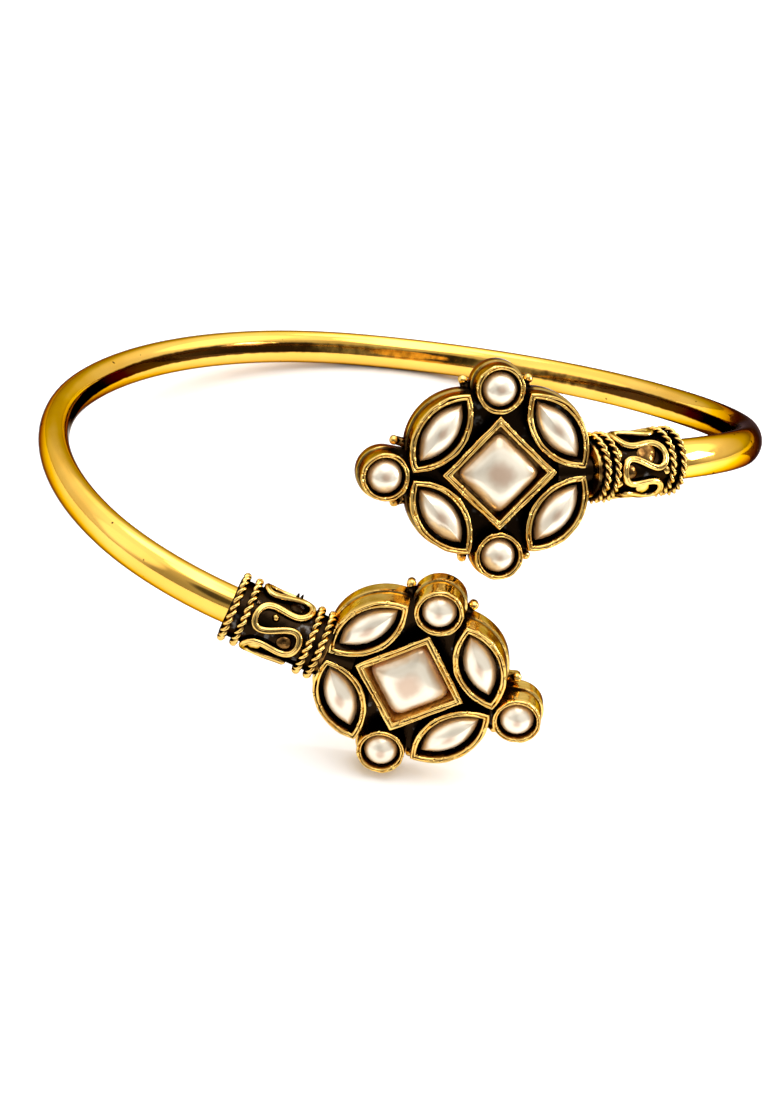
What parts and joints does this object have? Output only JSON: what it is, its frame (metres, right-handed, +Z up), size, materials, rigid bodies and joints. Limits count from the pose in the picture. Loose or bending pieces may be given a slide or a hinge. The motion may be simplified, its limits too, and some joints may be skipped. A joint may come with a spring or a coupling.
{
  "type": "stone-set bangle bracelet",
  "caption": "Open bangle: an oval gold rod whose ends pass each other, each with a wire-dressed drum collar and a flower of half pearls set in bezels.",
  "frame": {"origin": "on the surface that the bangle lies on, under the middle of its bounding box", "axes": "+Z up, +Y from the flowers at the front to the plain back of the rod, +X to the right as seen from the front"},
  "size_m": [0.0622, 0.0608, 0.0294],
  "materials": {
    "polished_gold": "mirror polished gold plate",
    "antique_gold": "polished gold plate with black oxidised recesses",
    "pearl": "pearl lustre, cream"
  },
  "bodies": {
    "root": {"hoop": "polished_gold", "left_collar": "antique_gold", "right_collar": "antique_gold", "left_setting": "antique_gold", "right_setting": "antique_gold", "left_square_stone": "pearl", "right_square_stone": "pearl", "left_marquise_stone_1": "pearl", "left_marquise_stone_2": "pearl", "left_marquise_stone_3": "pearl", "left_marquise_stone_4": "pearl", "right_marquise_stone_1": "pearl", "right_marquise_stone_2": "pearl", "right_marquise_stone_3": "pearl", "right_marquise_stone_4": "pearl", "left_round_stone_1": "pearl", "left_round_stone_2": "pearl", "left_round_stone_3": "pearl", "right_round_stone_1": "pearl", "right_round_stone_2": "pearl", "right_round_stone_3": "pearl"}
  },
  "joints": []
}
